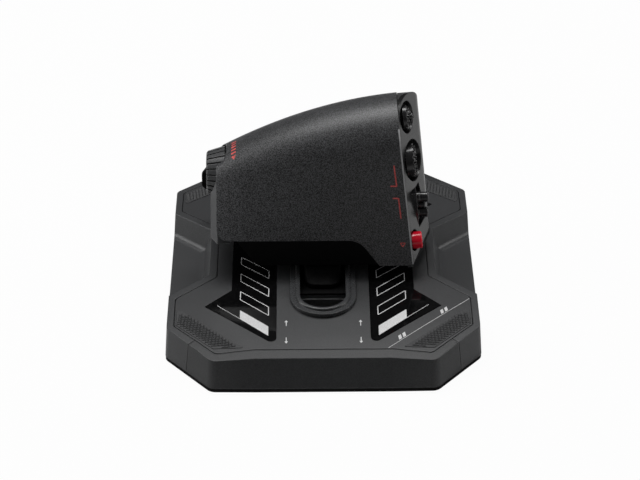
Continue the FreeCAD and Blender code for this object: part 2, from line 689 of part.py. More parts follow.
def palmSpace(gap):
    """Everything on the palm's side of the seam that runs along the grip."""
    wires = []
    for x in (-95.0, -40.0, 20.0, 100.0):
        cy = crownY + gap
        cz = crownHeight(x) - gap
        far = 120.0
        points = [Vec(x, cy, cz), Vec(x, cy + far * math.cos(splitAngle), cz + far * math.sin(splitAngle)),
                  Vec(x, -far, gripTop + far), Vec(x, -far, 20.0), Vec(x, -14.0 + gap, 20.0)]
        wires.append(Part.makePolygon(points + [points[0]]))
    return Part.makeLoft(wires, True, False)


def palmOutline(gap):
    """Rear view of the palm shell, as a prism along Y; gap makes it larger."""
    def edgeX(z):
        return palmEdgeX - palmEdgeLean * (z - palmEdgeZ)

    low = gripRestHeight
    points = [(gripLeft, gripTop), (gripLeft, low), (palmCurveX, low), (palmTipX, palmTipZ),
              (edgeX(palmTipZ), palmTipZ), (edgeX(gripTop), gripTop)]
    points = insetPolygon(points, -gap)
    wire = roundedWire(points, [0, 8.0, 15.0, 1.2, 1.2, 0], lambda x, z: Vec(x, -90, z))
    return Part.Face(wire).extrude(Vec(0, 200, 0))


notchPoints = [(-120, notchZ), (notchX - 6.8, notchZ), (notchX - 3.3, notchZ + 1.5), (notchX, notchZ + 6.0),
               (notchX, gripTop), (-120, gripTop)]
notchWire = roundedWire(notchPoints, [0, 1.0, 1.0, 1.5, 0, 0], lambda x, z: Vec(x, -90, z))
notchSpace = Part.Face(notchWire).extrude(Vec(0, 200, 0))
dialClear = 0.5
dialRoom = rodAt(dialInnerX + 0.4, dialY, dialZ, dialBigRadius + dialClear, 60, Vec(-1, 0, 0))
palmInside = gripSolid(palmWall)
insideThumb = thumbSlab(-200.0, -thumbThick - seatGap)
palmShell = gripSolid(0.0).cut(palmInside).common(palmSpace(0.0)).common(palmOutline(0.0))
palmShell = palmShell.cut([notchSpace, dialRoom])
saveOnGrip("palm_shell", palmShell)

shellOuter = gripSolid(shellInset)
shellInner = gripSolid(shellInset + shellWall)
palmRoom = palmSpace(splitGap).common(palmOutline(splitGap))
leftTrim = boxAt(gripLeft + 0.6, 200, -100, 100, 46.0, 200)
belowPalm = palmSpace(splitGap).common(boxAt(-200, 200, -200, 200, 0, 100))
footCut = footSlab(-80.0, 0.0)
frontShell = shellOuter.cut(shellInner.cut(farCorner(shellWall))).common(insideThumb).common(leftTrim)
frontShell = frontShell.cut([palmRoom, belowPalm, notchSpace, dialRoom, farCorner(0.0), footCut])
palmClear = gripSolid(palmWall + splitGap)
palmKeepout = palmRoom.cut(palmClear)
thumbPanel = shellOuter.common(thumbSlab(-thumbThick, 0.0)).cut([palmKeepout, farCorner(0.0), footCut])

# left end cap: fills the end inside the shells and bulges out under the dial
capInner = -66.0
capOuter = gripLeft + 0.4
capBulge = -80.5
capFloor = gripRestHeight - 3.0
capBody = gripSolid(shellInset + shellWall + seatGap)
capBody = capBody.common(boxAt(capOuter, capInner, -100, 100, capFloor, 200))
bulge = Part.makeLoft([gripSection(capOuter, 3.3), gripSection(capBulge, 10.0)], True, True)
bulge = bulge.common(boxAt(-100, capOuter, -100, 100, capFloor, 200))
leftCap = capBody.fuse(bulge).cut([dialRoom, notchSpace])

# ---------------------------------------------------------------- lower housing and chassis
underRear = -29.5
underFront = 32.2
underTop = gripRestHeight
underRight = 52.0
underPlan = [(-47.0, underFloor), (46.0, underFloor), (underRight, 44.8), (underRight, underTop),
             (-63.0, underTop), (-59.5, 56.0)]


def underBlock(inset, y0, y1):
    points = insetPolygon(underPlan, inset)
    if inset:
        points[3] = (points[3][0], underTop + 5)
        points[4] = (points[4][0], underTop + 5)
    wire = roundedWire(points, [3.0, 3.0, 2.0, 0, 0, 2.0], lambda x, z: Vec(x, y0, z))
    return Part.Face(wire).extrude(Vec(0, y1 - y0, 0))


underTongue = footSlab(-0.2 - underThick, -0.2).common(boxAt(underRight - 1, 120, underRear, 60, 0, 80))
underTongue = underTongue.common(shellOuter).common(palmClear).common(thumbSlab(-200, 0.0))
underTongue = underTongue.cut(farCorner(0.0))
lowerHousing = underBlock(0.0, underRear, underFront).fuse(underTongue)
lowerHousing = lowerHousing.cut(underBlock(underThick, underRear + underThick, underFront - underThick))
lowerHousing = lowerHousing.cut([neckBody(-0.1, 10.0, 60.0)] + neckScrewHoles)
saveOnGrip("lower_housing", lowerHousing)
gripScrews = []
for x, y in neckScrews:
    top = neckTop + flangeThick
    gripScrews.append(rodAt(x, y, top, 2.3, 1.6).fuse(rodAt(x, y, underFloor + 0.4, 1.25, top - underFloor)))
saveOnGrip("grip_screws", *gripScrews)
chassisZ = underTop + seatGap
chassisThick = 2.4
boardZ = 71.0
boardSpots = [(-34.0, -10.0), (30.0, -10.0), (-34.0, 14.0), (30.0, 14.0)]
chassis = gripSolid(4.2).common(boxAt(-61.5, 52.0, -27.4, 30.0, chassisZ, chassisZ + chassisThick))
chassis = chassis.cut([boxAt(-26, 22, -18, 20, 50, 80), boxAt(-54, -40, -14, 18, 50, 80),
                       boxAt(36, 45, -14, 18, 50, 80)])
chassis = chassis.fuse([rodAt(x, y, chassisZ, 2.6, boardZ - chassisZ) for x, y in boardSpots])
chassis = chassis.cut([rodAt(x, y, chassisZ - 1, 1.0, 30) for x, y in boardSpots])
saveOnGrip("grip_chassis", chassis)
gripBoard = boxAt(-40, 36, -14, 18, boardZ + seatGap, boardZ + 1.6)
gripBoard = gripBoard.cut([rodAt(x, y, 60, 1.1, 30) for x, y in boardSpots])
gripBoard = gripBoard.fuse([boxAt(-6, 6, -4, 8, boardZ + 1.6, boardZ + 3.0),
                            boxAt(18, 26, 8, 15, boardZ + 1.6, boardZ + 5.5)])
saveOnGrip("grip_board", gripBoard)

# ---------------------------------------------------------------- dial
dialGrooves = 24
potRadius = 8.5
potLong = 8.0
shaftRadius = 2.0
shaftGap = 0.05


def alongX(points):
    """Solid of revolution about the dial's axis from (x, radius) points."""
    wire = Part.makePolygon([Vec(x, dialY, dialZ + r) for x, r in points + [points[0]]])
    return Part.Face(wire).revolve(Vec(0, dialY, dialZ), Vec(1, 0, 0), 360)


dialBody = alongX([(dialInnerX, 0), (dialInnerX, dialBigRadius - 0.8), (dialInnerX - 0.8, dialBigRadius),
                   (dialOuterX + 1.0, dialSmallRadius + 0.4), (dialOuterX, dialSmallRadius - 0.8),
                   (dialOuterX, dialSmallRadius - 3.4), (dialOuterX + 1.0, dialSmallRadius - 4.2),
                   (dialOuterX + 1.0, 0)])
dialSlope = math.degrees(math.atan2(dialBigRadius - dialSmallRadius, dialInnerX - dialOuterX))
groove = Part.makeBox(30, 1.1, 6, Vec(-28.2, -0.55, -1.5))
groove.rotate(Vec(0, 0, 0), Vec(0, 1, 0), -dialSlope)
groove.translate(Vec(dialInnerX - 1.0, dialY, dialZ + dialBigRadius + 0.2))
grooves = []
for i in range(dialGrooves):
    one = groove.copy()
    one.rotate(Vec(0, dialY, dialZ), Vec(1, 0, 0), 360.0 / dialGrooves * (i + 0.5))
    grooves.append(one)
dialBore = rodAt(dialOuterX + 4.0, dialY, dialZ, shaftRadius + 0.02, 40, Vec(1, 0, 0))
dial = dialBody.cut(grooves + [dialBore])
saveOnGrip("dial", dial)
shaftStart = dialOuterX + 4.2
shaftEnd = capInner + 5.0
saveOnGrip("dial_shaft", rodAt(shaftStart, dialY, dialZ, shaftRadius, shaftEnd - shaftStart, Vec(1, 0, 0)))
potBush = rodAt(dialInnerX + 0.4, dialY, dialZ, 3.6, capInner - dialInnerX - 0.3, Vec(1, 0, 0))
dialPot = rodAt(capInner + seatGap, dialY, dialZ, potRadius, potLong, Vec(1, 0, 0)).fuse(potBush)
potBore = 100 + capInner + potLong - 2.0
dialPot = dialPot.cut(rodAt(-100, dialY, dialZ, shaftRadius + shaftGap, potBore, Vec(1, 0, 0)))
saveOnGrip("dial_pot", dialPot)
leftCap = leftCap.cut(rodAt(-100, dialY, dialZ, 3.75, 60, Vec(1, 0, 0)))
saveOnGrip("left_cap", leftCap)


# ---------------------------------------------------------------- controls
outAxis = Vec(controlAxis).normalize()
deepAxis = Vec(-outAxis.y, outAxis.x, 0).normalize()
upAxis = outAxis.cross(deepAxis)


def onThumb(shape, y, z, sink):
    """Puts a control drawn at the origin, +Z outwards, this far below the thumb face at (y, z)."""
    gone = Vec(0, y, z) - thumbPoint
    x = thumbPoint.x - (thumbNormal.y * gone.y + thumbNormal.z * gone.z) / thumbNormal.x
    spot = Vec(x, y, z) - outAxis * sink
    matrix = FreeCAD.Matrix(deepAxis.x, upAxis.x, outAxis.x, spot.x,
                            deepAxis.y, upAxis.y, outAxis.y, spot.y,
                            deepAxis.z, upAxis.z, outAxis.z, spot.z)
    placed = shape.copy()
    placed.Placement = FreeCAD.Placement(matrix).multiply(placed.Placement)
    return placed


def onFront(shape, x, z):
    """Puts a control drawn at the origin, +Z outwards, on the finger side at (x, z)."""
    cz, radius = crownHeight(x), crownSize(x)
    ny, nz = tangentFrom(frontFootY, frontFootZ, crownY, cz, radius, 1)
    y = crownY + ((radius - shellInset) - nz * (z - cz)) / ny
    matrix = FreeCAD.Matrix(-1, 0, 0, x, 0, -nz, ny, y, 0, ny, nz, z)
    placed = shape.copy()
    placed.Placement = FreeCAD.Placement(matrix).multiply(placed.Placement)
    return placed


cupTop = 0.8                # a hat's cup stands this far above its origin
cupInset = 1.4              # and is this much smaller than its cap
cupWall = 1.6
ringGap = 0.5
hatTilt = 8.0
pivotDepth = 4.0
pinRadius = 0.8
pinGap = 0.05
ringHalf = 1.2
holeGap = 0.15              # round a cup, in the cover it passes through


def hatSocket(capRadius, flangeDrop, deep=9.0):
    """Fixed cup that carries a hat's pivot ring; its flange lies flangeDrop below the origin."""
    outer = capRadius - cupInset
    cup = Part.makeCylinder(outer, deep + cupTop, Vec(0, 0, -deep))
    flange = Part.makeCylinder(outer + 1.6, 1.8, Vec(0, 0, -1.8 - flangeDrop))
    cup = cup.fuse(flange).cut(Part.makeCylinder(outer - cupWall, 30, Vec(0, 0, -deep + 2.0)))
    pins = Part.makeCylinder(pinRadius + pinGap, 4 * outer, Vec(-2 * outer, 0, -pivotDepth), Vec(1, 0, 0))
    return cup.cut(pins.common(Part.makeCylinder(outer - 0.5, 30, Vec(0, 0, -20))))


def hatRing(capRadius):
    """Pivot ring: its own pins lie along X, and it has holes along Y for the cap's pins."""
    outer = capRadius - cupInset - cupWall - ringGap
    ring = Part.makeCylinder(outer, 2 * ringHalf, Vec(0, 0, -pivotDepth - ringHalf))
    pins = Part.makeCylinder(pinRadius, 2 * (outer + 1.4), Vec(-outer - 1.4, 0, -pivotDepth), Vec(1, 0, 0))
    ring = ring.fuse(pins).cut(Part.makeCylinder(outer - 2.0, 10, Vec(0, 0, -pivotDepth - 5)))
    start = Vec(0, -outer + 0.5, -pivotDepth)
    return ring.cut(Part.makeCylinder(pinRadius + pinGap, 2 * outer - 1.0, start, Vec(0, 1, 0)))


def hatStem(capRadius, top):
    outer = capRadius - cupInset - cupWall - ringGap
    reach = outer - 0.7
    stem = Part.makeCylinder(2.2, top + pivotDepth + 1.6, Vec(0, 0, -pivotDepth - 1.6))
    pins = Part.makeCylinder(pinRadius, 2 * reach, Vec(0, -reach, -pivotDepth), Vec(0, 1, 0))
    return stem.fuse(pins)


def hatRise(capRadius, tilt):
    """Height of the cap's lower rim that clears the cup when both axes tilt together."""
    return cupTop + 0.35 + capRadius * math.sin(math.radians(tilt * math.sqrt(2)))


def turned(profile):
    """Solid of revolution about Z from (radius, z) points."""
    wire = Part.makePolygon([Vec(r, 0, z) for r, z in profile + [profile[0]]])
    return Part.Face(wire).revolve(Vec(0, 0, 0), Vec(0, 0, 1), 360)


def toothGaps(inner, outer, z, count, turn):
    gaps = []
    for i in range(count):
        gap = Part.makeBox(outer - inner, 1.3, 6.0, Vec(inner, -0.65, z))
        gap.rotate(Vec(0, 0, 0), Vec(0, 0, 1), 360.0 * (i + turn) / count)
        gaps.append(gap)
    return gaps


def steppedHat(capRadius, high, teeth):
    """Four-way hat whose knurled face rises in steps to a small nub."""
    low = hatRise(capRadius, hatTilt)
    rim = low + high
    cap = turned([(0, low), (capRadius - 1.0, low), (capRadius, low + 1.0), (capRadius - 0.3, rim - 0.6),
                  (capRadius - 0.9, rim), (capRadius - 2.4, rim + 0.2), (capRadius - 2.4, rim + 1.2),
                  (capRadius - 4.2, rim + 1.4), (capRadius - 4.2, rim + 2.4), (capRadius - 6.0, rim + 2.6),
                  (capRadius - 6.0, rim + 3.4), (1.2, rim + 3.6), (1.0, rim + 4.4), (0, rim + 4.4)])
    cuts = toothGaps(capRadius - 2.4, capRadius + 2, rim - 1.0, teeth, 0.0)
    cuts += toothGaps(capRadius - 4.2, capRadius - 2.4, rim + 0.2, teeth, 0.5)
    cuts += toothGaps(capRadius - 6.0, capRadius - 4.2, rim + 1.4, teeth, 0.0)
    return cap.cut(cuts).fuse(hatStem(capRadius, low + 0.5))


def castleHat(capRadius, high, teeth):
    """Four-way hat: two staggered rings of teeth round a dished middle."""
    low = hatRise(capRadius, hatTilt)
    rim = low + high
    cap = turned([(0, low), (capRadius - 1.0, low), (capRadius, low + 1.0), (capRadius - 0.4, rim - 1.8),
                  (capRadius - 0.9, rim - 1.3), (capRadius - 2.4, rim - 1.1), (capRadius - 2.4, rim),
                  (capRadius - 4.4, rim), (capRadius - 5.4, rim - 1.6), (0, rim - 2.2)])
    cuts = toothGaps(capRadius - 2.4, capRadius + 2, rim - 2.4, teeth, 0.0)
    cuts += toothGaps(capRadius - 4.6, capRadius - 2.4, rim - 1.1, teeth, 0.5)
    return cap.cut(cuts).fuse(hatStem(capRadius, low + 0.5))


wellGap = 2.8       # lets the hat tilt both ways at once
wellWall = 1.4
wellFloor = 2.0


def hatWell(capRadius):
    """Cup round a sunken hat, and the space inside it."""
    cup = Part.makeCylinder(capRadius + wellGap + wellWall, 40, Vec(0, 0, -0.2 - wellFloor))
    room = Part.makeCylinder(capRadius + wellGap, 40, Vec(0, 0, -0.2))
    return cup, room.fuse(Part.makeCylinder(capRadius - cupInset + holeGap, 20, Vec(0, 0, -10)))


wellLimit = gripSolid(shellInset + shellWall + seatGap).common(thumbSlab(-200.0, -thumbThick / 2))
wellLimit = wellLimit.cut(farCorner(shellWall + seatGap))
upperHat = (12.0, 137.5, 6.7)       # place on the thumb face, and how deep it is sunk
upperHatRadius = 9.0
lowerHat = (5.0, 106.0, 9.7)
lowerHatRadius = 12.5
for name, spot, radius, hat in (("upper_hat", upperHat, upperHatRadius, steppedHat(upperHatRadius, 4.4, 12)),
                                ("lower_hat", lowerHat, lowerHatRadius, castleHat(lowerHatRadius, 8.4, 18))):
    saveOnGrip(name + "_base", onThumb(hatSocket(radius, 0.25 + wellFloor), *spot))
    saveOnGrip(name + "_ring", onThumb(hatRing(radius), *spot))
    saveOnGrip(name, onThumb(hat, *spot))
    cup, room = hatWell(radius)
    room = onThumb(room, *spot)
    thumbPanel = thumbPanel.fuse(onThumb(cup, *spot).common(wellLimit)).cut(room)
    frontShell = frontShell.cut(room)

# rocker: two lobes on a cross pin
rockerWide = 12.0
rockerLong = 22.0
rockerPivot = -1.5
frameWall = 1.6
rockerRoom = rockerLong / 2 + 1.4
rockerBelowWell = 1.8               # its frame starts this far below the lower hat's well
rockerTop = lowerHat[1] - lowerHatRadius - wellGap - wellWall - rockerBelowWell
rockerSpot = (-3.0, rockerTop - frameWall - rockerRoom, 2.4)


def centredBox(wide, long, z0, z1):
    return Part.makeBox(wide, long, z1 - z0, Vec(-wide / 2, -long / 2, z0))


def rockerBody():
    half = rockerLong / 2
    low = [Vec(0, -half + 2.0, -4.0), Vec(0, -half, 1.5), Vec(0, -half + 0.8, 6.2)]
    high = [Vec(0, half - 0.8, 6.2), Vec(0, half, 1.5), Vec(0, half - 2.0, -4.0)]
    lobe = Part.BSplineCurve()
    lobe.interpolate([Vec(0, -half + 0.8, 6.2), Vec(0, -half * 0.55, 8.2), Vec(0, 0, 4.6),
                      Vec(0, half * 0.55, 8.2), Vec(0, half - 0.8, 6.2)])
    edges = Part.makePolygon(low).Edges + [lobe.toShape()] + Part.makePolygon(high + [low[0]]).Edges
    body = Part.Face(Part.Wire(edges)).extrude(Vec(rockerWide, 0, 0))
    body.translate(Vec(-rockerWide / 2, 0, 0))
    bore = Part.makeCylinder(1.0 + pinGap, 40, Vec(-20, 0, rockerPivot), Vec(1, 0, 0))
    return body.cut(bore)


rockerFrame = centredBox(rockerWide + 0.8 + 2 * frameWall, 2 * rockerRoom + 2 * frameWall, -9.0, 1.0)
rockerFrame = rockerFrame.cut(centredBox(rockerWide + 0.8, 2 * rockerRoom, -7.0, 5.0))
pinLong = rockerWide + 0.8 + 1.6 * frameWall
pinStart = Vec(-pinLong / 2, 0, rockerPivot)
rockerPin = Part.makeCylinder(1.0, pinLong, pinStart, Vec(1, 0, 0))
rockerFrame = rockerFrame.cut(Part.makeCylinder(1.02, pinLong, pinStart, Vec(1, 0, 0)))
behindFace = thumbSlab(-thumbThick - 2.0, -thumbThick - seatGap)
rockerRim = onThumb(centredBox(rockerWide + 8, 2 * rockerRoom + 5, -15, 9), *rockerSpot).common(behindFace)
rockerRim = rockerRim.cut(onThumb(centredBox(rockerWide + 2, 2 * rockerRoom + 1, -20, 20), *rockerSpot))
saveOnGrip("rocker_frame", onThumb(rockerFrame, *rockerSpot).fuse(rockerRim))
saveOnGrip("rocker_pin", onThumb(rockerPin, *rockerSpot))
saveOnGrip("thumb_rocker", onThumb(rockerBody(), *rockerSpot))
thumbPanel = thumbPanel.cut(onThumb(centredBox(rockerWide + 1.1 + 2 * frameWall,
                                               2 * rockerRoom + 2 * frameWall + 0.3, -15, 15), *rockerSpot))


def roundButton(radius, rise, edge):
    """Push button with a retaining collar; it sinks along -Z."""
    body = Part.makeCylinder(radius, rise + 5.0, Vec(0, 0, -5.0))
    top = [e for e in body.Edges if e.BoundBox.ZMin > rise - 0.01]
    body = body.makeFillet(edge, top)
    return body.fuse(Part.makeCylinder(radius + 0.7, 1.3, Vec(0, 0, -5.0)))


def buttonGuide(radius, top):
    """Tube with a shoulder over the button's collar and a closed floor with the switch on it."""
    tube = Part.makeCylinder(radius + 1.5, top + 11.0, Vec(0, 0, -11.0))
    tube = tube.cut(Part.makeCylinder(radius + 0.15, 30, Vec(0, 0, -9.5)))
    return tube.cut(Part.makeCylinder(radius + 0.95, 6.0, Vec(0, 0, -9.5)))


def tactSwitch():
    """Small switch under a button, its plunger just short of it."""
    return centredBox(6, 6, -9.45, -8.2).fuse(Part.makeCylinder(1.6, 1.0, Vec(0, 0, -8.2)))


redSpot = (-24.0, 56.0, 1.3)
redRadius = 6.2
redRise = 6.6
saveOnGrip("red_button", onThumb(roundButton(redRadius, redRise, 0.9), *redSpot))
redRim = Part.makeCylinder(redRadius + 2.8, 30, Vec(0, 0, -15))
redRim = redRim.cut(Part.makeCylinder(redRadius + 1.2, 50, Vec(0, 0, -25)))
redRim = onThumb(redRim, *redSpot).common(behindFace)
redGuide = onThumb(buttonGuide(redRadius, -1.0), *redSpot).fuse(redRim).common(palmClear)
saveOnGrip("red_button_guide", redGuide)
switches = [onThumb(tactSwitch(), *redSpot)]
thumbPanel = thumbPanel.cut(onThumb(Part.makeCylinder(redRadius + 1.6, 20, Vec(0, 0, -10)), *redSpot))
saveOnGrip("thumb_panel", thumbPanel)

# finger side: two buttons and a small thumb-stick
fingerRadius = 5.6
fingerSpots = [("finger_button_outer", 34.0, 108.0), ("finger_button_inner", -26.0, 92.0)]
fingerRim = Part.makeCylinder(fingerRadius + 2.8, 1.8, Vec(0, 0, -thumbThick - 2.0))
fingerRim = fingerRim.cut(Part.makeCylinder(fingerRadius + 1.2, 50, Vec(0, 0, -25)))
guides = []
for name, x, z in fingerSpots:
    saveOnGrip(name, onFront(roundButton(fingerRadius, 3.6, 0.8), x, z))
    guides.append(onFront(buttonGuide(fingerRadius, 0.5).fuse(fingerRim), x, z))
    switches.append(onFront(tactSwitch(), x, z))
    frontShell = frontShell.cut(onFront(Part.makeCylinder(fingerRadius + 1.6, 20, Vec(0, 0, -10)), x, z))
saveOnGrip("finger_button_guides", *guides)
saveOnGrip("button_switches", *switches)
stickX = 5.0
stickZ = 99.0
stickRadius = 8.4
stickLow = hatRise(stickRadius, hatTilt)
stickCap = Part.makeCone(stickRadius - 2.6, stickRadius, 2.2, Vec(0, 0, stickLow))
stickCap = stickCap.fuse(Part.makeCylinder(stickRadius, 1.6, Vec(0, 0, stickLow + 2.2)))
stickCap = stickCap.cut(Part.makeSphere(20.0, Vec(0, 0, stickLow + 3.8 + 18.6)))
miniStick = stickCap.fuse(hatStem(stickRadius, stickLow + 0.8))
saveOnGrip("stick_base", onFront(hatSocket(stickRadius, thumbThick + 0.2), stickX, stickZ))
saveOnGrip("stick_ring", onFront(hatRing(stickRadius), stickX, stickZ))
saveOnGrip("mini_stick", onFront(miniStick, stickX, stickZ))
stickHole = Part.makeCylinder(stickRadius - cupInset + holeGap, 20, Vec(0, 0, -10))
frontShell = frontShell.cut(onFront(stickHole, stickX, stickZ))

# finger paddle: a long rocker on an upright pin
paddleX = -40.0             # its pivot pin
paddlePivotY = 44.5
paddleLeft = -89.0
paddleRight = 8.0
paddleLow = 51.0
paddleHigh = 77.0
paddleFace = 47.6           # near side of the blade
paddleThick = 4.0
paddlePinRadius = 1.6
earThick = 3.6
paddlePlan = [(paddleLeft, paddleLow + 9), (paddleLeft + 9, paddleLow), (paddleRight, paddleLow),
              (paddleRight, paddleHigh), (paddleLeft + 5, paddleHigh), (paddleLeft, paddleHigh - 7)]
wire = roundedWire(paddlePlan, 3.5, lambda x, z: Vec(x, paddleFace, z))
paddle = Part.Face(wire).extrude(Vec(0, paddleThick, 0))
rims = [e for e in paddle.Edges if e.BoundBox.YMin > paddleFace + paddleThick - 0.01]
paddle = paddle.makeFillet(1.2, rims)
barrelLow = paddleLow + earThick + 0.4
barrelHigh = paddleHigh - earThick - 0.4
barrel = rodAt(paddleX, paddlePivotY, barrelLow, 3.2, barrelHigh - barrelLow)
web = boxAt(paddleX - 2.6, paddleX + 2.6, paddlePivotY, paddleFace + 0.5, barrelLow, barrelHigh)
pinBore = rodAt(paddleX, paddlePivotY, 40, paddlePinRadius + 0.05, 50)
paddle = paddle.fuse([barrel, web]).cut(pinBore)
saveOnGrip("finger_paddle", paddle)
bracket = boxAt(paddleX - 7, paddleX + 7, 34.0, 40.6, paddleLow - 0.4, paddleHigh + 0.4)
bracket = bracket.cut(gripSolid(shellInset - seatGap))
ears = [boxAt(paddleX - 4, paddleX + 4, 40.0, 46.6, z, z + earThick)
        for z in (paddleLow, paddleHigh - earThick)]
bracket = bracket.fuse(ears).cut(rodAt(paddleX, paddlePivotY, 40, paddlePinRadius + 0.02, 50))
saveOnGrip("paddle_bracket", bracket)
saveOnGrip("paddle_pin", rodAt(paddleX, paddlePivotY, paddleLow, paddlePinRadius, paddleHigh - paddleLow))
saveOnGrip("front_shell", frontShell)
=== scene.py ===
import bmesh
import bpy
import math
from mathutils import Matrix, Vector
from mathutils.bvhtree import BVHTree


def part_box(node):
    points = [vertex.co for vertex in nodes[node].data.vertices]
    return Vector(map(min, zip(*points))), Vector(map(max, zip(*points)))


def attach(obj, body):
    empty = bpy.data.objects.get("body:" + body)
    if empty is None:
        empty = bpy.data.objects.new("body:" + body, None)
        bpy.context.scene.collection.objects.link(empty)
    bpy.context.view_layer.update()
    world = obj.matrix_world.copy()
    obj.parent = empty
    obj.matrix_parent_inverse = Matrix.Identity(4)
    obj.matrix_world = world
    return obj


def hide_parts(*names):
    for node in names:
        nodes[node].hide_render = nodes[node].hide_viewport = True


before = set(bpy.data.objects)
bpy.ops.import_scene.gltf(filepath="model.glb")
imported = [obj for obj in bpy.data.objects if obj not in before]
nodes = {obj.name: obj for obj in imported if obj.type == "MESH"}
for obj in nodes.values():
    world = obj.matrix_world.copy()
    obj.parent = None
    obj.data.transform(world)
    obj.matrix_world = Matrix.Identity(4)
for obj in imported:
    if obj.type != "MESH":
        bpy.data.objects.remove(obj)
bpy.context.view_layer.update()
print("frame loaded:", len(nodes), "pieces")


class Wire:
    # a node socket that can be used in Python expressions
    def __init__(self, tree, socket):
        self.tree = tree
        self.socket = socket

    def make(self, operation, *values, clamp=False):
        return self.tree.node("ShaderNodeMath", {"operation": operation, "use_clamp": clamp},
                              dict(enumerate(values)))

    def __add__(self, other): return self.make("ADD", self, other)
    def __radd__(self, other): return self.make("ADD", other, self)
    def __sub__(self, other): return self.make("SUBTRACT", self, other)
    def __rsub__(self, other): return self.make("SUBTRACT", other, self)
    def __mul__(self, other): return self.make("MULTIPLY", self, other)
    def __rmul__(self, other): return self.make("MULTIPLY", other, self)
    def __truediv__(self, other): return self.make("DIVIDE", self, other)
    def __rtruediv__(self, other): return self.make("DIVIDE", other, self)
    def __mod__(self, other): return self.make("MODULO", self, other)
    def __pow__(self, other): return self.make("POWER", self, other)
    def __gt__(self, other): return self.make("GREATER_THAN", self, other)
    def __abs__(self): return self.make("ABSOLUTE", self)
    def clamped(self): return self.make("ADD", self, 0.0, clamp=True)
    def rounded(self): return self.make("ROUND", self)
    def sign(self): return self.make("SIGN", self)
    def sine(self): return self.make("SINE", self)
    def cosine(self): return self.make("COSINE", self)
    def atLeast(self, other): return self.make("MAXIMUM", self, other)


class Tree:
    # adds nodes to a shader or geometry tree
    def __init__(self, nodeTree):
        self.nodeTree = nodeTree

    def node(self, kind, settings=None, sockets=None, out=0):
        made = self.nodeTree.nodes.new(kind)
        for key, value in (settings or {}).items():
            setattr(made, key, value)
        for key, value in (sockets or {}).items():
            target = made.inputs[key]
            if isinstance(value, Wire):
                self.nodeTree.links.new(value.socket, target)
            else:
                target.default_value = value
        return Wire(self, made.outputs[out])

    def split(self, vector):
        made = self.nodeTree.nodes.new("ShaderNodeSeparateXYZ")
        self.nodeTree.links.new(vector.socket, made.inputs[0])
        return [Wire(self, socket) for socket in made.outputs]


def newMaterial(name):
    material = bpy.data.materials.new(name)
    material.use_nodes = True
    material.node_tree.nodes.clear()
    return material, Tree(material.node_tree)


def finishMaterial(tree, fixed, varying):
    # fixed values sit on the shader itself; varying ones are wires
    shader = tree.nodeTree.nodes.new("ShaderNodeBsdfPrincipled")
    for key, value in fixed.items():
        shader.inputs[key].default_value = value
    for key, wire in varying.items():
        tree.nodeTree.links.new(wire.socket, shader.inputs[key])
    output = tree.nodeTree.nodes.new("ShaderNodeOutputMaterial")
    tree.nodeTree.links.new(shader.outputs[0], output.inputs[0])


def opaque(colour, factor=1.0):
    return tuple(part * factor for part in colour) + (1.0,)


def grey(value):
    return opaque((value, value, value))


def mixColour(tree, factor, a, b):
    return tree.node("ShaderNodeMix", {"data_type": "RGBA"}, {0: factor, 6: a, 7: b}, out=2)


def objectPlace(tree):
    return tree.node("ShaderNodeTexCoord", out=3)


def noise(tree, place, scale, detail):
    return tree.node("ShaderNodeTexNoise", {}, {"Vector": place, "Scale": scale, "Detail": detail})


def addPiece(name, data):
    piece = bpy.data.objects.new(name, data)
    bpy.context.collection.objects.link(piece)
    return piece


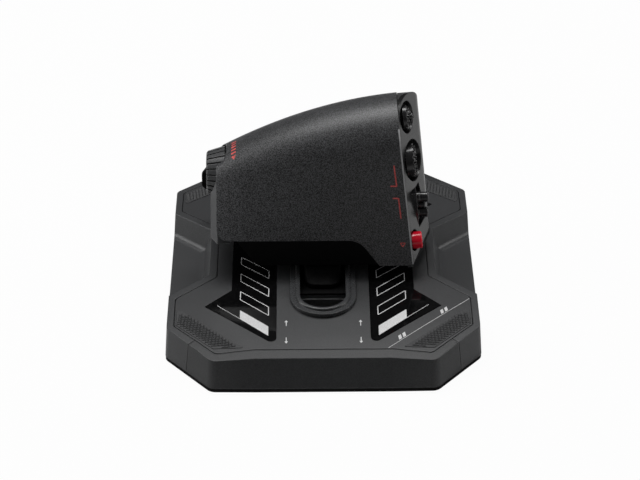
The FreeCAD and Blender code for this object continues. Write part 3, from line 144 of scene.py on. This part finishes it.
# colour, roughness, grain per metre and its depth in metres, speckle, rounded edge in metres,
# and on some the shine (specular level) and how strong the painted highlight on the edges is
plastics = {
    "frameGrey": {"colour": (0.041, 0.042, 0.0438), "rough": 0.36, "grain": 1500, "depth": 0.00002,
                  "speckle": 0.16, "edge": 0.0011},
    "fasciaGrey": {"colour": (0.028, 0.0287, 0.03), "rough": 0.38, "grain": 1500, "depth": 0.00002,
                   "speckle": 0.2, "edge": 0.0011},
    "deckGrey": {"colour": (0.037, 0.0378, 0.0395), "rough": 0.36, "grain": 1700, "depth": 0.00002,
                 "speckle": 0.16, "edge": 0.0003},
    "bezelGrey": {"colour": (0.042, 0.043, 0.045), "rough": 0.27, "grain": 2200, "depth": 0.00001,
                  "speckle": 0.1, "edge": 0.0008},
    "blackPlastic": {"colour": (0.0018, 0.0018, 0.002), "rough": 0.62, "grain": 1600,
                     "depth": 0.00002, "speckle": 0.2, "edge": 0.0003, "shine": 0.12},
    "palmGrey": {"colour": (0.04, 0.0405, 0.0425), "rough": 0.42, "grain": 1500, "depth": 0.00012,
                 "speckle": 1.0, "edge": 0.0006},
    "shellGrey": {"colour": (0.03, 0.0305, 0.032), "rough": 0.48, "grain": 1500, "depth": 0.00002,
                  "speckle": 0.3, "edge": 0.0005},
    "thumbGrey": {"colour": (0.006, 0.0062, 0.0066), "rough": 0.24, "grain": 1700, "depth": 0.00001,
                  "speckle": 0.2, "edge": 0.001, "shine": 0.45},
    "highlightStripGrey": {"colour": (0.4, 0.402, 0.408), "rough": 0.35, "grain": 1700, "depth": 0.00001,
                 "speckle": 0.1, "edge": 0.0002},
    "controlBlack": {"colour": (0.016, 0.016, 0.017), "rough": 0.2, "grain": 2000, "depth": 0.00001,
                     "speckle": 0.15, "edge": 0.0006, "edgeHighlightGain": 5.0},
    "dialGrey": {"colour": (0.05, 0.051, 0.053), "rough": 0.3, "grain": 2000, "depth": 0.00001,
                 "speckle": 0.2, "edge": 0.0005, "edgeHighlightGain": 4.0},
    "innerPlastic": {"colour": (0.2, 0.2, 0.2), "rough": 0.5, "grain": 1200, "depth": 0.00001,
                     "speckle": 0.1, "edge": 0.0003},
    "buttonRed": {"colour": (0.85, 0.006, 0.03), "rough": 0.2, "grain": 900, "depth": 0.000004,
                  "speckle": 0.06, "edge": 0.0005},
    "capGrey": {"colour": (0.04, 0.041, 0.043), "rough": 0.34, "grain": 1500, "depth": 0.00002,
                "speckle": 0.15, "edge": 0.0006, "edgeHighlightGain": 3.0},
    "rubberBlack": {"colour": (0.03, 0.0305, 0.032), "rough": 0.6, "grain": 1800, "depth": 0.00002,
                    "speckle": 0.2, "edge": 0.0003, "edgeHighlightGain": 1.6},
    "inlayBlack": {"colour": (0.003, 0.003, 0.0032), "rough": 0.07, "grain": 500, "depth": 0.0,
                   "speckle": 0.1, "edge": 0.0002, "shine": 0.16},
    "inkWhite": {"colour": (0.62, 0.62, 0.62), "rough": 0.45, "grain": 1900, "depth": 0.000004,
                 "speckle": 0.12, "edge": 0.00001},
    "inkCoral": {"colour": (0.62, 0.085, 0.075), "rough": 0.45, "grain": 1900, "depth": 0.000004,
                 "speckle": 0.3, "edge": 0.00001},
}


# the same for every plastic; these also set how strong the painted edge highlight and the painted shade in
# recesses are
moulding = {"broadScale": 22.0, "broadContrast": 0.5, "grainContrast": 5.0, "edgeHighlightGain": 0.7, "edgeHighlightBase": 0.6,
            "shine": 0.5, "recessReach": 0.003, "recessGain": 1.8, "recessStart": 0.42, "deep": 0.06,
            "roughBroad": 0.12, "roughFine": 0.1, "bump": 0.6}


def plasticMaterial(name):
    look = {**moulding, **plastics[name]}
    colour, speckle = look["colour"], look["speckle"]
    material, tree = newMaterial(name)
    place = objectPlace(tree)
    broad = noise(tree, place, look["broadScale"], 4.0)
    fine = noise(tree, place, look["grain"], 2.0)
    light = opaque([min(1.0, part * (1.0 + speckle) + 0.001) for part in colour])
    dark = opaque(colour, 1.0 - speckle)
    contrast = ((broad - 0.5) * look["broadContrast"] + (fine - 0.5) * look["grainContrast"] + 0.5).clamped()
    rounded = tree.node("ShaderNodeBevel", {"samples": 4}, {"Radius": look["edge"]})
    flat = tree.node("ShaderNodeNewGeometry", out=1)
    # painted highlight: where the rounded normal bends away from the true one, at edges, the colour is
    # lightened unevenly with the broad noise, standing in for light caught on the edges
    bend = 1.0 - tree.node("ShaderNodeVectorMath", {"operation": "DOT_PRODUCT"}, {0: rounded, 1: flat}, out=1)
    edgeHighlight = (bend * look["edgeHighlightGain"] * (look["edgeHighlightBase"] + broad)).clamped()
    edgeHighlightColour = opaque([0.75 * part + look["edgeHighlightGain"] * 0.05 for part in colour])
    skin = mixColour(tree, edgeHighlight, mixColour(tree, contrast, dark, light), edgeHighlightColour)
    # painted shade: seams, corners and recesses are darkened towards a darker copy of the colour
    opened = tree.node("ShaderNodeAmbientOcclusion", {"samples": 4}, {"Distance": look["recessReach"]}, out=1)
    opened = (opened * look["recessGain"] - look["recessStart"]).clamped()
    normal = rounded
    if look["depth"]:
        normal = tree.node("ShaderNodeBump", {}, {"Strength": look["bump"], "Distance": look["depth"],
                                                  "Height": fine, "Normal": rounded})
    finishMaterial(tree, {"Specular IOR Level": look["shine"]}, {
        # the base colour carries the painted shade in recesses and the painted edge highlight
        "Base Color": mixColour(tree, opened, opaque(colour, look["deep"]), skin),
        "Roughness": look["rough"] + (broad - 0.5) * look["roughBroad"] + (fine - 0.5) * look["roughFine"],
        "Normal": normal})
    return material


metals = {
    "steel": {"colour": (0.55, 0.55, 0.56), "rough": 0.28},
    "zinc": {"colour": (0.42, 0.42, 0.43), "rough": 0.4},
    "bronze": {"colour": (0.5, 0.33, 0.14), "rough": 0.45},
    "castAluminium": {"colour": (0.45, 0.46, 0.47), "rough": 0.55},
}


# the same for every metal
milling = {"broadScale": 60.0, "fineScale": 1800.0, "dark": 0.85, "roughBroad": 0.2, "roughFine": 0.1,
           "bump": 0.4, "depth": 0.00001}


def metalMaterial(name):
    look = {**milling, **metals[name]}
    material, tree = newMaterial(name)
    place = objectPlace(tree)
    broad = noise(tree, place, look["broadScale"], 4.0)
    fine = noise(tree, place, look["fineScale"], 2.0)
    finishMaterial(tree, {"Metallic": 1.0}, {
        "Base Color": mixColour(tree, broad, opaque(look["colour"], look["dark"]), opaque(look["colour"])),
        "Roughness": look["rough"] + (broad - 0.5) * look["roughBroad"] + (fine - 0.5) * look["roughFine"],
        "Normal": tree.node("ShaderNodeBump", {}, {"Strength": look["bump"], "Distance": look["depth"],
                                                   "Height": fine})})
    return material


finishes = {name: plasticMaterial(name) for name in plastics}
finishes.update({name: metalMaterial(name) for name in metals})
wears = {
    "frameGrey": ["side_frame_left", "side_frame_right"],
    "fasciaGrey": ["front_fascia", "rear_fascia"],
    "deckGrey": ["top_deck"],
    "bezelGrey": ["slot_bezel"],
    "blackPlastic": ["bottom_pan", "lower_housing", "neck", "slide_plate", "finger_paddle", "end_bumpers"],
    "palmGrey": ["palm_shell"],
    "shellGrey": ["front_shell"],
    "thumbGrey": ["thumb_panel"],
    "dialGrey": ["dial"],
    "capGrey": ["left_cap"],
    "controlBlack": ["upper_hat", "lower_hat", "thumb_rocker", "mini_stick", "finger_button_inner",
                     "finger_button_outer", "upper_hat_base", "lower_hat_base", "stick_base", "rocker_frame",
                     "red_button_guide", "finger_button_guides", "paddle_bracket"],
    "innerPlastic": ["upper_hat_ring", "lower_hat_ring", "stick_ring", "grip_chassis", "magnet_carrier",
                     "rod_mounts", "position_board", "grip_board", "button_switches", "friction_pad"],
    "buttonRed": ["red_button"],
    "rubberBlack": ["grip_patches_front", "grip_patches_rear", "rubber_feet"],
    "inlayBlack": ["inlay_panel_left", "inlay_panel_right"],
    "steel": ["guide_rods", "dial_shaft", "rocker_pin", "paddle_pin", "ballast_plates"],
    "zinc": ["case_screws", "grip_screws", "lead_socket", "tension_screw", "dial_pot"],
    "bronze": ["slide_bushes", "mount_inserts"],
    "castAluminium": ["carriage"],
}
for finish, names in wears.items():
    for name in names:
        nodes[name].data.materials.clear()
        nodes[name].data.materials.append(finishes[finish])
print("materials on the CAD pieces")


# height of the deck's crest, and the radius of its crown along Y
deck = {"top": 0.0322, "crown": 0.961}


def crownHeight(y):
    return deck["top"] - deck["crown"] + math.sqrt(deck["crown"] ** 2 - y * y)


# printed marks, and the painted highlight strip on the palm's edge, are thin sheets that lie on the surfaces
def paintedSheet(name, quads, place, paintFinish, step):
    # each quad is four corners in the place function's own two coordinates
    verts, faces = [], []
    for a, b, c, d in quads:
        a, b, c, d = (Vector(corner) for corner in (a, b, c, d))
        rows = max(1, math.ceil(max((d - a).length, (c - b).length) / step))
        columns = max(1, math.ceil(max((b - a).length, (c - d).length) / step))
        first = len(verts)
        for row in range(rows + 1):
            left, right = a.lerp(d, row / rows), b.lerp(c, row / rows)
            verts += [place(*left.lerp(right, column / columns)) for column in range(columns + 1)]
        for row in range(rows):
            for column in range(columns):
                low = first + row * (columns + 1) + column
                faces.append((low, low + 1, low + columns + 2, low + columns + 1))
    mesh = bpy.data.meshes.new(name)
    mesh.from_pydata(verts, [], faces)
    mesh.materials.append(finishes[paintFinish])
    return addPiece(name, mesh)


def stroke(start, end, width):
    # a straight line of this width as one quad
    start, end = Vector(start), Vector(end)
    side = (end - start).normalized() * width / 2
    side = Vector((-side.y, side.x))
    return [tuple(start - side), tuple(end - side), tuple(end + side), tuple(start + side)]


def outline(corners, width):
    return [stroke(corners[i - 1], corners[i], width) for i in range(len(corners))]


def facingUp(quads):
    # turns quads over that would face down
    turned = []
    for quad in quads:
        area = sum(quad[i - 1][0] * quad[i][1] - quad[i][0] * quad[i - 1][1] for i in range(4))
        turned.append(quad if area > 0 else quad[::-1])
    return turned


# blocks is how many outlines stand in a row, the last one solid; bars are distances along the band line
deckInk = {"lift": 0.00003, "step": 0.002, "line": 0.0006, "fine": 0.00035,
           "blocks": 4, "innerX": 0.0388, "outerX": 0.059, "firstY": -0.008, "pitch": 0.0219,
           "height": 0.0096, "drop": 0.0184, "underline": ((0.0752, -0.0683), (0.0387, -0.1021)),
           "arrowX": 0.0262, "arrowY": (-0.0855, -0.1104), "arrow": 0.0013, "tip": 0.0001, "stem": 0.0042,
           "band": ((0.045, -0.1158), (0.1045, -0.0618)), "along": (0.74, 0.672),
           "bars": (0.0115, 0.0155, 0.053, 0.057), "barGap": 0.0009, "barHeight": 0.0036,
           "barLean": 0.0022, "barWidth": 0.0026}


def deckMarks():
    quads = []
    look = deckInk
    for side in (-1, 1):
        inner, outer = side * look["innerX"], side * look["outerX"]
        for step in range(look["blocks"]):
            top = look["firstY"] - look["pitch"] * step
            low = top - look["drop"]
            corners = [(outer, top), (outer, top - look["height"]), (inner, low - look["height"]), (inner, low)]
            solid = step == look["blocks"] - 1
            quads += [corners] if solid else outline(corners, look["line"])
        start, end = ((side * x, y) for x, y in look["underline"])
        quads.append(stroke(start, end, look["fine"]))
        x = side * look["arrowX"]
        for tip, way in zip(look["arrowY"], (1, -1)):
            low = tip - way * look["arrow"] * 1.6
            quads.append([(x - look["arrow"], low), (x + look["arrow"], low),
                          (x + look["tip"], tip), (x - look["tip"], tip)])
            quads.append(stroke((x, low), (x, low - way * look["stem"]), look["line"]))
    # a thin line beside the right front patch, with two pairs of slanted bars on it
    quads.append(stroke(*look["band"], look["fine"]))
    along = Vector(look["along"])
    inward = Vector((-along.y, along.x))
    width = along * look["barWidth"]
    for distance in look["bars"]:
        foot = Vector(look["band"][0]) + along * distance + inward * look["barGap"]
        head = foot + inward * look["barHeight"] + along * look["barLean"]
        quads.append([tuple(foot), tuple(foot + width), tuple(head + width), tuple(head)])

    def onDeck(x, y):
        return Vector((x, y, crownHeight(y) + look["lift"]))

    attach(paintedSheet("deckMarks", facingUp(quads), onDeck, "inkWhite", look["step"]), "base")


# ticks and a pointer on the crown, brackets and a small triangle on the palm side, and a light strip on its
# edge painted as a highlight
palmPrintAndHighlight = {"lift": 0.00004, "step": 0.001, "line": 0.0009,
           "tickX": (-0.0652, -0.0619), "firstTick": 0.0042, "tickPitch": 0.003, "ticks": 5, "tickLine": 0.0013,
           "tickSlant": 0.0003,
           "pointer": ((0.0, 0.0018), (0.0021, -0.001), (0.0021, -0.001), (0.0033, 0.0022)),
           "brackets": [((0.0508, 0.1164), (0.0529, 0.1013)), ((0.0531, 0.1015), (0.0484, 0.1015)),
                        ((0.0501, 0.0927), (0.0543, 0.0927)), ((0.0542, 0.0929), (0.0561, 0.0779))],
           "triangle": [(0.0557, 0.0601), (0.0593, 0.0601), (0.0575, 0.0574)], "triangleLine": 0.0006,
           "edgeFoot": (0.0645, 0.0445), "edgeWidth": 0.001, "edgeSlope": 0.112, "edgePitch": 0.004,
           "edgeParts": 24, "edgeStep": 0.002}


def surfaceFinder(node):
    # gives a function that finds where a straight line meets a CAD piece
    piece = nodes[node]
    tree = BVHTree.FromObject(piece, bpy.context.evaluated_depsgraph_get())
    there = piece.matrix_world
    back = there.inverted()

    def find(start, way):
        spot, normal, _, _ = tree.ray_cast(back @ Vector(start), back.to_3x3() @ Vector(way))
        return there @ spot + (there.to_3x3() @ normal).normalized() * palmPrintAndHighlight["lift"]
    return find


def palmMarks():
    look = palmPrintAndHighlight
    find = surfaceFinder("palm_shell")

    def fromAbove(x, y):
        return find((x, y, 0.2), (0, 0, -1))

    def fromUser(x, z):
        return find((x, -0.2, z), (0, 1, 0))

    left, right = look["tickX"]
    ticks = []
    for i in range(look["ticks"]):
        y = look["firstTick"] + look["tickPitch"] * i
        ticks.append(stroke((left, y), (right, y + look["tickSlant"]), look["tickLine"]))
    ticks.append([(left + x, y) for x, y in look["pointer"]])
    quads = [stroke(start, end, look["line"]) for start, end in look["brackets"]]
    quads += outline(look["triangle"], look["triangleLine"])
    # a lighter strip along the shell's right edge, painted as the highlight that edge catches
    strip = []
    footX, footZ = look["edgeFoot"]
    for i in range(look["edgeParts"]):
        low, high = i * look["edgePitch"], (i + 1) * look["edgePitch"]
        lowX, highX = footX - look["edgeSlope"] * low, footX - look["edgeSlope"] * high
        strip.append([(lowX, footZ + low), (lowX + look["edgeWidth"], footZ + low),
                      (highX + look["edgeWidth"], footZ + high), (highX, footZ + high)])
    upper = paintedSheet("crownMarks", facingUp(ticks), fromAbove, "inkCoral", look["step"])
    lower = paintedSheet("palmMarks", facingUp(quads), fromUser, "inkCoral", look["step"])
    rim = paintedSheet("palmHighlightStrip", strip, fromUser, "highlightStripGrey", look["edgeStep"])
    for piece in (upper, lower, rim):
        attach(piece, "grip")


deckMarks()
palmMarks()
print("printed marks")

# diamond pips on the four grip patches: the sizes with capitals are the tree's own inputs
pips = {"Along": 0.0031, "Across": 0.0039, "Size": 0.0029, "Height": 0.0005, "Turn": 43.9, "Proud": 0.00034,
        "Deck Top": deck["top"], "Crown Radius": deck["crown"], "middle": (0.083, -0.096), "reach": 0.07,
        "edges": [(0.0772, -0.116), (0.1038, -0.0904), (0.1038, -0.0753), (0.1018, -0.0732), (0.0554, -0.115)],
        "margin": 0.0017, "top": 0.2, "foot": 0.62, "squash": (0.85, 1.1, 1.0)}


def pipTree():
    group = bpy.data.node_groups.new("pips", "GeometryNodeTree")
    for name in ("Along", "Across", "Size", "Height", "Turn", "Proud", "Deck Top", "Crown Radius"):
        group.interface.new_socket(name, in_out="INPUT", socket_type="NodeSocketFloat")
    group.interface.new_socket("Material", in_out="INPUT", socket_type="NodeSocketMaterial")
    group.interface.new_socket("Geometry", in_out="OUTPUT", socket_type="NodeSocketGeometry")
    tree = Tree(group)
    given = group.nodes.new("NodeGroupInput")

    def get(name):
        return Wire(tree, given.outputs[name])

    # a staggered lattice, turned and laid on the crown of the right front patch
    across = get("Across") * 0.5
    rows = int(pips["reach"] / pips["Across"]) * 2 + 1
    columns = int(pips["reach"] / pips["Along"]) + 1
    grid = tree.node("GeometryNodeMeshGrid", {},
                     {"Size X": get("Along") * float(columns - 1), "Vertices X": columns,
                      "Size Y": across * float(rows - 1), "Vertices Y": rows})
    x, y, _ = tree.split(tree.node("GeometryNodeInputPosition"))
    x = x + abs((y / across).rounded() % 2.0) * get("Along") * 0.5
    turn = get("Turn") * (math.pi / 180.0)
    spotX = x * turn.cosine() - y * turn.sine() + pips["middle"][0]
    spotY = x * turn.sine() + y * turn.cosine() + pips["middle"][1]
    crown = get("Crown Radius")
    height = get("Deck Top") + get("Proud") - crown + (crown ** 2.0 - spotY * spotY) ** 0.5
    spot = tree.node("ShaderNodeCombineXYZ", {}, {0: spotX, 1: spotY, 2: height})
    points = tree.node("GeometryNodeSetPosition", {}, {"Geometry": grid, "Position": spot})

    # those past the patch's edges go
    outside = None
    for i, (bx, by) in enumerate(pips["edges"]):
        ax, ay = pips["edges"][i - 1]
        length = math.hypot(bx - ax, by - ay)
        awayX, awayY = (by - ay) / length, (ax - bx) / length
        distance = tree.node("ShaderNodeVectorMath", {"operation": "DOT_PRODUCT"},
                             {0: tree.node("GeometryNodeInputPosition"), 1: (awayX, awayY, 0.0)}, out=1)
        beyond = distance > awayX * ax + awayY * ay - pips["margin"]
        outside = outside.atLeast(beyond) if outside else beyond
    points = tree.node("GeometryNodeDeleteGeometry", {"domain": "POINT"},
                       {"Geometry": points, "Selection": outside})
    points = tree.node("GeometryNodeMeshToPoints", {}, {"Mesh": points})

    # the other three patches are mirror images
    join = group.nodes.new("GeometryNodeJoinGeometry")
    for flipX in (-1.0, 1.0):
        for flipY in (-1.0, 1.0):
            corner = tree.node("GeometryNodeTransform", {},
                               {"Geometry": points, "Scale": (flipX, flipY, 1.0)})
            group.links.new(corner.socket, join.inputs[0])
    x, y, _ = tree.split(tree.node("GeometryNodeInputPosition"))
    lean = turn * -1.0 * (x * y).sign()
    pip = tree.node("GeometryNodeMeshCone", {"fill_type": "NGON"},
                    {"Vertices": 4, "Side Segments": 1, "Radius Top": get("Size") * pips["top"],
                     "Radius Bottom": get("Size") * pips["foot"], "Depth": get("Height")})
    pip = tree.node("GeometryNodeTransform", {}, {"Geometry": pip, "Scale": pips["squash"]})
    placed = tree.node("GeometryNodeInstanceOnPoints", {},
                       {"Points": Wire(tree, join.outputs[0]), "Instance": pip,
                        "Rotation": tree.node("ShaderNodeCombineXYZ", {}, {2: lean})})
    real = tree.node("GeometryNodeRealizeInstances", {}, {"Geometry": placed})
    real = tree.node("GeometryNodeSetMaterial", {}, {"Geometry": real, "Material": get("Material")})
    output = group.nodes.new("NodeGroupOutput")
    group.links.new(real.socket, output.inputs[0])
    return group


def grown(name, group, values, body):
    # runs the tree once and keeps the result as a plain mesh that rides on the body
    holder = addPiece(name + "Source", bpy.data.meshes.new(name + "Source"))
    modifier = holder.modifiers.new("grow", "NODES")
    modifier.node_group = group
    for item in group.interface.items_tree:
        if item.in_out == "INPUT" and item.name in values:
            modifier[item.identifier] = values[item.name]
    bpy.context.view_layer.update()
    mesh = bpy.data.meshes.new_from_object(holder.evaluated_get(bpy.context.evaluated_depsgraph_get()))
    bpy.data.objects.remove(holder)
    mesh.name = name
    piece = addPiece(name, mesh)
    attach(piece, body)
    return piece


pipPiece = grown("patchPips", pipTree(), {**pips, "Material": finishes["rubberBlack"]}, "base")
print("pips:", len(pipPiece.data.polygons), "faces")

# two rounded lobes, one above the other, with a waist between and rings round the outer ends
rocker = {"lobe": 0.0038, "waist": 0.0024, "waistBack": 0.0022, "round": 0.0011, "short": 0.0009, "sides": 40,
          "rings": 1, "ringStart": 0.52, "ringPitch": 0.0013, "ringDeep": 0.0003, "stem": 0.8, "stemEnd": 0.3,
          "skirt": 0.36, "dish": 0.0003, "roundSteps": 5, "joinWithin": 1e-7}


def lobeProfile(radius, depth):
    # radius and depth pairs from the back to the dished front
    look = rocker
    soft, deep = look["round"], look["ringDeep"]
    stem = radius * look["stem"]
    profile = [(0.0, 0.0), (stem, 0.0), (stem, depth * look["stemEnd"]), (radius, depth * look["skirt"])]
    for ring in range(look["rings"]):
        at = depth * look["ringStart"] + ring * look["ringPitch"]
        profile += [(radius, at), (radius - deep, at + 0.0002),
                    (radius - deep, at + 0.0005), (radius, at + 0.0007)]
    profile = [(r, x) for r, x in profile if x < depth - soft - 0.0001]
    for step in range(look["roundSteps"]):
        angle = math.pi / 2 * step / (look["roundSteps"] - 1)
        profile.append((radius - soft + soft * math.cos(angle), depth - soft + soft * math.sin(angle)))
    return profile + [(0.0, depth - look["dish"])]


def makeRocker():
    look = rocker
    low, high = (Vector(c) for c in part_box("thumb_rocker"))
    middle = (low + high) / 2
    spread = (high.z - low.z) / 2 - look["lobe"] - look["short"]
    waistTop = high.x - look["waistBack"]
    turns = [2 * math.pi * i / look["sides"] for i in range(look["sides"])]
    lumps = ((-1, look["lobe"], high.x), (1, look["lobe"], high.x), (0, look["waist"], waistTop))
    mesh = bmesh.new()
    for side, radius, top in lumps:
        loops = []
        for r, x in lobeProfile(radius, top - low.x):
            loops.append([mesh.verts.new((low.x + x, middle.y + r * math.cos(turn),
                                          middle.z + side * spread + r * math.sin(turn))) for turn in turns])
        for before, after in zip(loops, loops[1:]):
            for i in range(look["sides"]):
                mesh.faces.new((before[i - 1], before[i], after[i], after[i - 1]))
    bmesh.ops.remove_doubles(mesh, verts=mesh.verts, dist=look["joinWithin"])
    bmesh.ops.recalc_face_normals(mesh, faces=mesh.faces)
    shape = bpy.data.meshes.new("rockerLobes")
    mesh.to_mesh(shape)
    mesh.free()
    shape.materials.append(finishes["controlBlack"])
    piece = addPiece("rockerLobes", shape)
    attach(piece, "thumb_rocker")
    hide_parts("thumb_rocker")
    return piece


rockerPiece = makeRocker()
print("rocker:", len(rockerPiece.data.polygons), "faces")

room = {"cameraAt": (-0.0130, -1.4976, 0.9782), "pitch": 32.02, "turn": -0.437, "roll": -0.155,
        "lens": 135.6, "sensor": 36.0, "clipEnd": 20.0, "floorReach": 6.0, "floorDrop": 0.0001,
        "floorColour": 0.6, "floorGlow": 0.965, "air": 0.022, "airAside": 0.24, "airAbove": 0.1}


def makeRoom():
    reach, drop = room["floorReach"], room["floorDrop"]
    floorMesh = bpy.data.meshes.new("floor")
    floorMesh.from_pydata([(-reach, -reach, -drop), (reach, -reach, -drop), (reach, reach, -drop),
                           (-reach, reach, -drop)], [], [(0, 1, 2, 3)])
    floor = addPiece("floor", floorMesh)
    material, tree = newMaterial("paleFloor")
    path = tree.node("ShaderNodeLightPath", out=0)
    diffuse = tree.node("ShaderNodeBsdfDiffuse", {}, {"Color": grey(room["floorColour"])})
    glow = tree.node("ShaderNodeEmission", {}, {"Color": grey(1.0), "Strength": 1.0})
    # the camera sees the floor nearly white, with the shadow still on it
    seen = tree.node("ShaderNodeMixShader", {}, {0: path * room["floorGlow"], 1: diffuse, 2: glow})
    output = tree.nodeTree.nodes.new("ShaderNodeOutputMaterial")
    tree.nodeTree.links.new(seen.socket, output.inputs[0])
    floorMesh.materials.append(material)
    world = bpy.data.worlds.new("room")
    world.use_nodes = True
    bpy.context.scene.world = world
    world.node_tree.nodes.clear()
    tree = Tree(world.node_tree)
    aside, _, height = tree.split(tree.node("ShaderNodeTexCoord", out=0))
    light = room["air"] + aside * aside * room["airAside"] + height.atLeast(0.0) * room["airAbove"]
    dim = tree.node("ShaderNodeBackground", {}, {"Color": grey(1.0), "Strength": light})
    white = tree.node("ShaderNodeBackground", {}, {"Color": grey(1.0), "Strength": 1.0})
    path = tree.node("ShaderNodeLightPath", out=0)
    both = tree.node("ShaderNodeMixShader", {}, {0: path, 1: dim, 2: white})
    output = world.node_tree.nodes.new("ShaderNodeOutputWorld")
    world.node_tree.links.new(both.socket, output.inputs[0])


lamps = {
    "topLamp": {"at": (-0.15, 0.4, 1.6), "size": (1.4, 0.6), "power": 21},
    "leftLamp": {"at": (-1.5, 0.05, 0.7), "size": (0.5, 1.0), "power": 8},
    "rightLamp": {"at": (1.5, 0.1, 0.7), "size": (0.4, 0.9), "power": 5},
}
lampTarget = (0, 0, 0.05)


def softLamp(name):
    look = lamps[name]
    data = bpy.data.lights.new(name, "AREA")
    data.shape = "RECTANGLE"
    data.size, data.size_y = look["size"]
    data.energy = look["power"]
    lamp = addPiece(name, data)
    lamp.location = look["at"]
    lamp.rotation_euler = (Vector(lampTarget) - Vector(look["at"])).to_track_quat("-Z", "Y").to_euler()


def makeCamera():
    data = bpy.data.cameras.new("camera")
    data.sensor_width = room["sensor"]
    data.lens = room["lens"]
    data.clip_end = room["clipEnd"]
    camera = addPiece("camera", data)
    turn = Matrix.Rotation(math.radians(room["turn"]), 4, "Z")
    tilt = Matrix.Rotation(math.radians(90.0 - room["pitch"]), 4, "X")
    roll = Matrix.Rotation(math.radians(room["roll"]), 4, "Z")
    camera.matrix_world = Matrix.Translation(room["cameraAt"]) @ turn @ tilt @ roll
    bpy.context.scene.camera = camera


makeRoom()
for lampName in lamps:
    softLamp(lampName)
makeCamera()
bpy.context.scene.view_settings.view_transform = "Standard"
print("room, lamps and camera")
